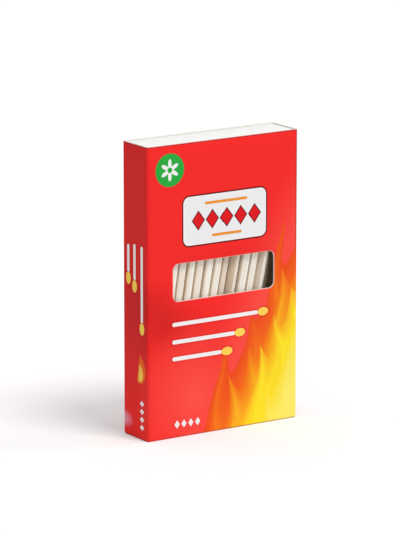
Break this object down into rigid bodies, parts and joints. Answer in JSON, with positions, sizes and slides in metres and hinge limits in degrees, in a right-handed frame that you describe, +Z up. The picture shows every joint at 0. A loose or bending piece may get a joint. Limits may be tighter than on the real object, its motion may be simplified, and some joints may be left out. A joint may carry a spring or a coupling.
{
  "type": "matchbox",
  "caption": "Flat card matchbox for long gas matches, standing on end: printed sleeve with a window, sliding card tray and loose wooden matches with heads up.",
  "frame": {"origin": "middle of the lower end, on which the box stands", "axes": "+Z up along the box's length and the matches, -Y out of the front panel with the window, +X to the right seen from the front"},
  "size_m": [0.057, 0.0142, 0.095],
  "materials": {
    "printed_card": "satin",
    "tray_card": "matte",
    "match_wood": "matte",
    "match_head": "matte",
    "striking_coat": "matte"
  },
  "bodies": {
    "sleeve": {"sleeve": "printed_card"},
    "tray": {"tray": "tray_card", "match_01": "match_wood", "match_02": "match_wood", "match_03": "match_wood", "match_04": "match_wood", "match_05": "match_wood", "match_06": "match_wood", "match_07": "match_wood", "match_08": "match_wood", "match_09": "match_wood", "match_10": "match_wood", "match_11": "match_wood", "match_12": "match_wood", "match_13": "match_wood", "match_14": "match_wood", "match_15": "match_wood", "match_16": "match_wood", "match_17": "match_wood", "match_18": "match_wood", "match_19": "match_wood", "match_20": "match_wood", "match_21": "match_wood", "match_22": "match_wood", "match_23": "match_wood", "match_24": "match_wood", "match_25": "match_wood", "match_26": "match_wood", "match_27": "match_wood", "match_28": "match_wood", "match_29": "match_wood", "match_30": "match_wood", "match_31": "match_wood", "match_32": "match_wood", "match_33": "match_wood", "match_34": "match_wood", "match_35": "match_wood", "match_36": "match_wood", "match_37": "match_wood", "match_38": "match_wood", "match_39": "match_wood", "match_40": "match_wood"}
  },
  "joints": [
    {"name": "tray_slide", "type": "slide", "parent": "sleeve", "child": "tray", "axis": [0, 0, 1], "range_m": [0, 0.085]}
  ]
}
